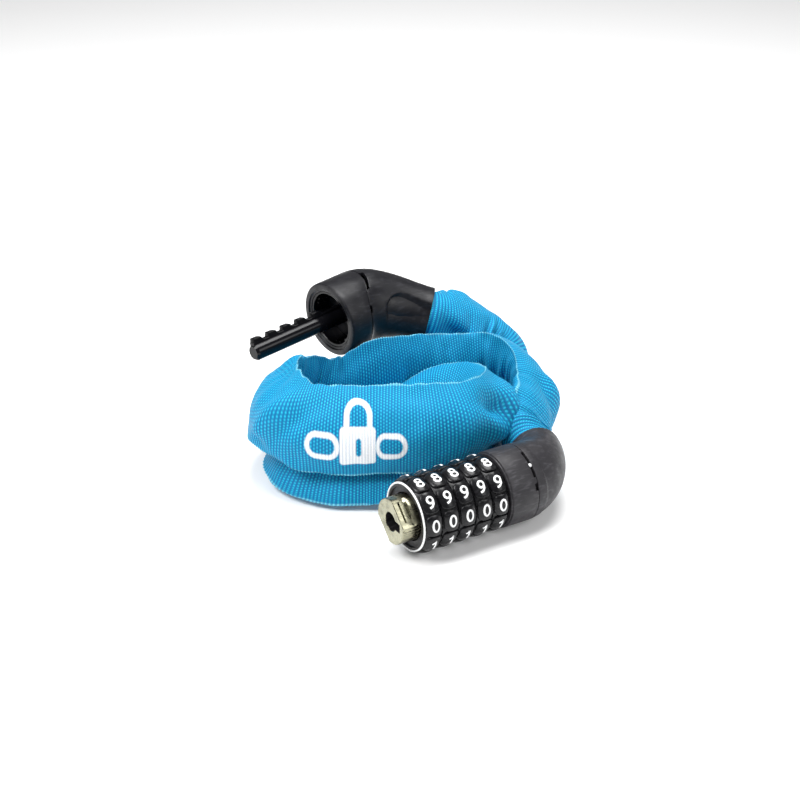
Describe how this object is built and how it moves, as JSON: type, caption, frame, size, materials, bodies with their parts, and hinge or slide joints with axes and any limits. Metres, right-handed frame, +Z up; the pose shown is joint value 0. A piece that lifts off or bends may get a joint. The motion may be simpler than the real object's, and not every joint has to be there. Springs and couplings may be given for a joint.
{
  "type": "combination chain lock",
  "caption": "Combination lock head with turning number dials and a keeper with a toothed bolt, joined by a chain in a woven sleeve, lying coiled.",
  "frame": {"origin": "centre of the underside of the two rigid heads together, on the surface the lock lies on", "axes": "+Z up, and +X along the lock head's axis from its keyhole face towards the chain"},
  "size_m": [0.1346, 0.136, 0.0643],
  "materials": {
    "housing_plastic": "satin black",
    "dial_plastic": "satin black",
    "zinc": "die-cast zinc, pale yellow passivated",
    "white_plastic": "matt white",
    "bolt_steel": "gloss black",
    "steel": "plain",
    "brass": "plain",
    "sleeve_fabric": "woven polyester, bright blue"
  },
  "bodies": {
    "lock": {"front_cap": "housing_plastic", "index_ring": "white_plastic", "core_barrel": "steel", "code_spring": "steel", "thrust_washer": "steel", "rear_housing": "housing_plastic", "anchor_block": "zinc", "chain_rivet": "steel", "elbow_cover": "housing_plastic", "keeper_cup": "housing_plastic", "keeper_liner": "bolt_steel", "bolt_pin": "bolt_steel", "keeper_base": "zinc", "keeper_rivet": "steel", "keeper_cover": "housing_plastic", "sleeve": "sleeve_fabric", "link_01": "steel", "link_02": "steel", "link_03": "steel", "link_04": "steel", "link_05": "steel", "link_06": "steel", "link_07": "steel", "link_08": "steel", "link_09": "steel", "link_10": "steel", "link_11": "steel", "link_12": "steel", "link_13": "steel", "link_14": "steel", "link_15": "steel", "link_16": "steel", "link_17": "steel", "link_18": "steel", "link_19": "steel", "link_20": "steel", "link_21": "steel", "link_22": "steel", "link_23": "steel", "link_24": "steel", "link_25": "steel", "link_26": "steel", "link_27": "steel", "link_28": "steel", "link_29": "steel", "link_30": "steel", "link_31": "steel", "link_32": "steel", "link_33": "steel"},
    "core": {"reset_core": "zinc"},
    "dial_1_body": {"dial_1": "dial_plastic", "code_ring_1": "brass"},
    "dial_2_body": {"dial_2": "dial_plastic", "code_ring_2": "brass"},
    "dial_3_body": {"dial_3": "dial_plastic", "code_ring_3": "brass"},
    "dial_4_body": {"dial_4": "dial_plastic", "code_ring_4": "brass"},
    "dial_5_body": {"dial_5": "dial_plastic", "code_ring_5": "brass"}
  },
  "joints": [
    {"name": "code_reset_turn", "type": "hinge", "parent": "lock", "child": "core", "pos_m": [-0.03369, -0.05302, 0.015], "axis": [1, 0, 0], "range_deg": [0, 90]},
    {"name": "dial_1_turn", "type": "hinge", "parent": "lock", "child": "dial_1_body", "pos_m": [-0.03369, -0.05302, 0.015], "axis": [1, 0, 0], "continuous": true},
    {"name": "dial_2_turn", "type": "hinge", "parent": "lock", "child": "dial_2_body", "pos_m": [-0.03369, -0.05302, 0.015], "axis": [1, 0, 0], "continuous": true},
    {"name": "dial_3_turn", "type": "hinge", "parent": "lock", "child": "dial_3_body", "pos_m": [-0.03369, -0.05302, 0.015], "axis": [1, 0, 0], "continuous": true},
    {"name": "dial_4_turn", "type": "hinge", "parent": "lock", "child": "dial_4_body", "pos_m": [-0.03369, -0.05302, 0.015], "axis": [1, 0, 0], "continuous": true},
    {"name": "dial_5_turn", "type": "hinge", "parent": "lock", "child": "dial_5_body", "pos_m": [-0.03369, -0.05302, 0.015], "axis": [1, 0, 0], "continuous": true}
  ]
}
